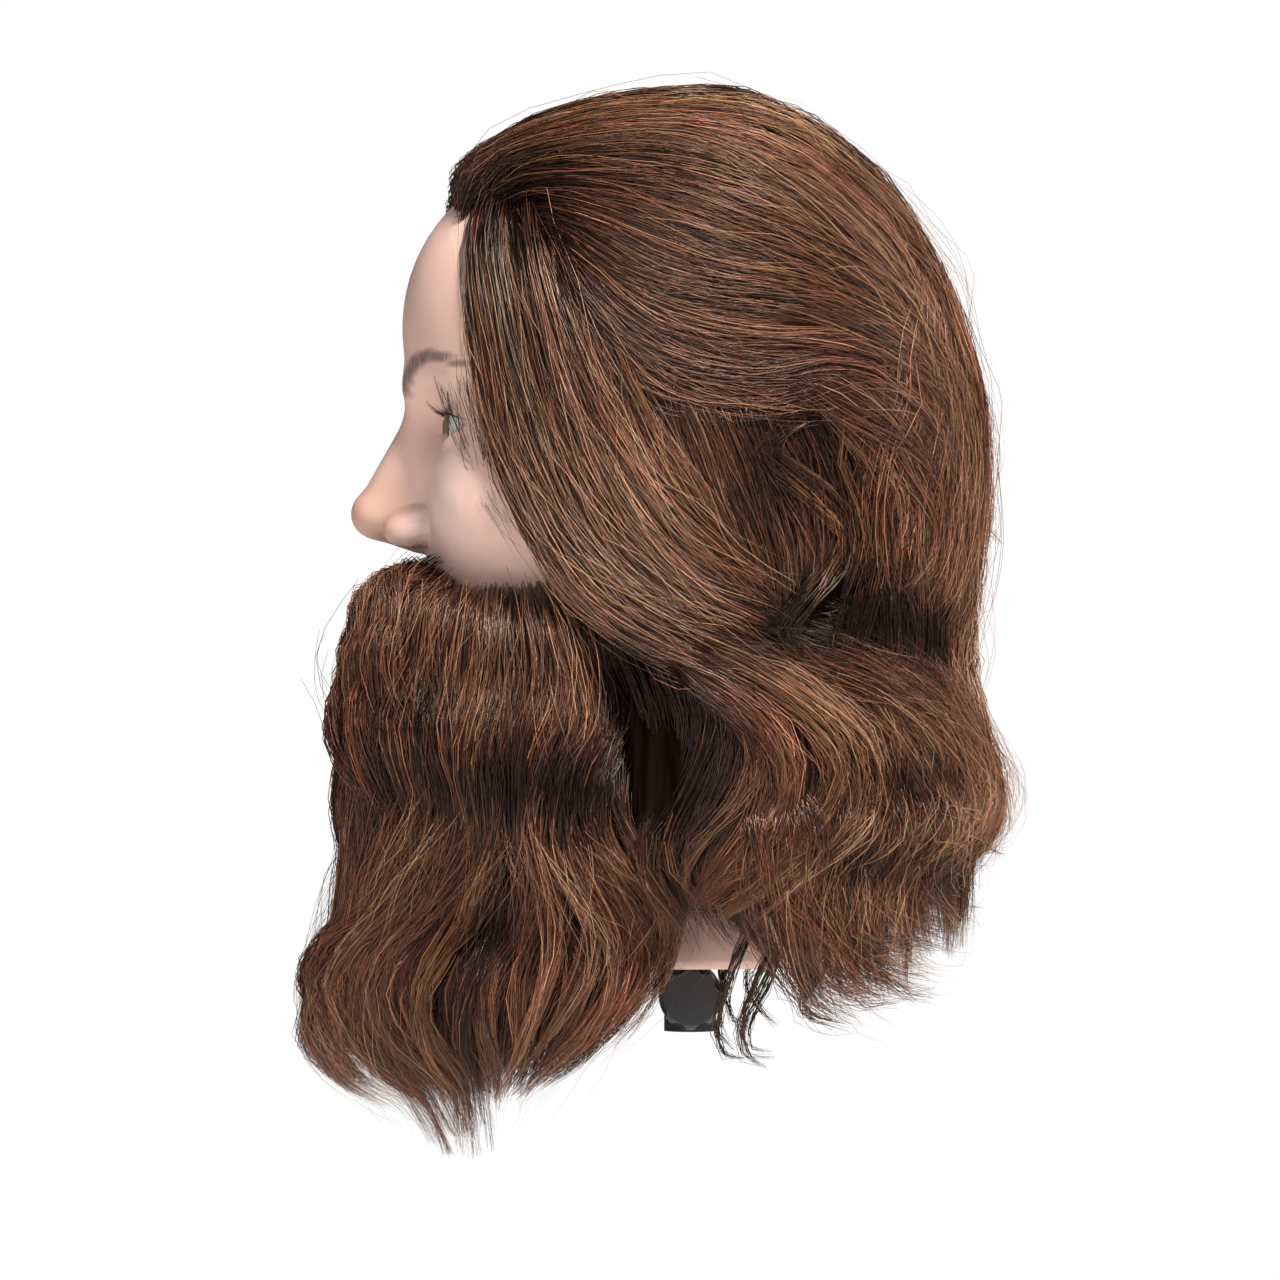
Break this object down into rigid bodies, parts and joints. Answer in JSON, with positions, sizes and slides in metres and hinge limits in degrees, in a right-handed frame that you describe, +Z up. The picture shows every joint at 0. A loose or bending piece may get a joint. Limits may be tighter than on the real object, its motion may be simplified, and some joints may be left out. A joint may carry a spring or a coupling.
{
  "type": "bearded hairdressing training head",
  "caption": "Mannequin training head with implanted hair and full beard, turning on a tapered post with a tilting swivel and lock knob.",
  "frame": {"origin": "centre of the mouth of the threaded stand hole, on the flat underside of the swivel fork", "axes": "+Z up through the neck and the crown, -Y the way the face looks, +X towards the head's left ear and the lock knob"},
  "size_m": [0.211, 0.2576, 0.373],
  "materials": {
    "vinyl_skin": "matte",
    "foam": "matte",
    "plate_plastic": "matte",
    "sleeve_plastic": "satin",
    "screw_steel": "satin",
    "eye_acrylic": "gloss",
    "lash_fibre": "matte",
    "scalp_hair": "satin",
    "beard_hair": "satin",
    "black_plastic": "satin",
    "knob_plastic": "satin",
    "bolt_steel": "satin",
    "fibre_washer": "matte",
    "insert_brass": "satin"
  },
  "bodies": {
    "holder": {"swivel_fork": "black_plastic", "pivot_bolt": "bolt_steel", "friction_washers": "fibre_washer", "knob_washer": "bolt_steel"},
    "knob": {"lock_knob": "knob_plastic", "knob_insert": "insert_brass"},
    "post": {"taper_post": "black_plastic"},
    "head": {"head_skin": "vinyl_skin", "foam_core": "foam", "neck_plate": "plate_plastic", "socket_sleeve": "sleeve_plastic", "plate_screws": "screw_steel", "eye_left": "eye_acrylic", "eye_right": "eye_acrylic", "lashes_left": "lash_fibre", "lashes_right": "lash_fibre", "hair_front": "scalp_hair", "hair_crown": "scalp_hair", "hair_left": "scalp_hair", "hair_right": "scalp_hair", "hair_back": "scalp_hair", "hair_nape": "scalp_hair", "hair_hem_left": "scalp_hair", "hair_hem_right": "scalp_hair", "moustache": "beard_hair", "beard_front": "beard_hair", "beard_left": "beard_hair", "beard_right": "beard_hair"}
  },
  "joints": [
    {"name": "knob_turn", "type": "hinge", "parent": "holder", "child": "knob", "pos_m": [0.02, 0, 0.013], "axis": [1, 0, 0], "range_deg": [0, 360]},
    {"name": "tilt", "type": "hinge", "parent": "holder", "child": "post", "pos_m": [0, 0, 0.013], "axis": [1, 0, 0], "range_deg": [-45, 45]},
    {"name": "head_turn", "type": "hinge", "parent": "post", "child": "head", "pos_m": [0, 0, 0.025], "axis": [0, 0, 1], "continuous": true}
  ]
}
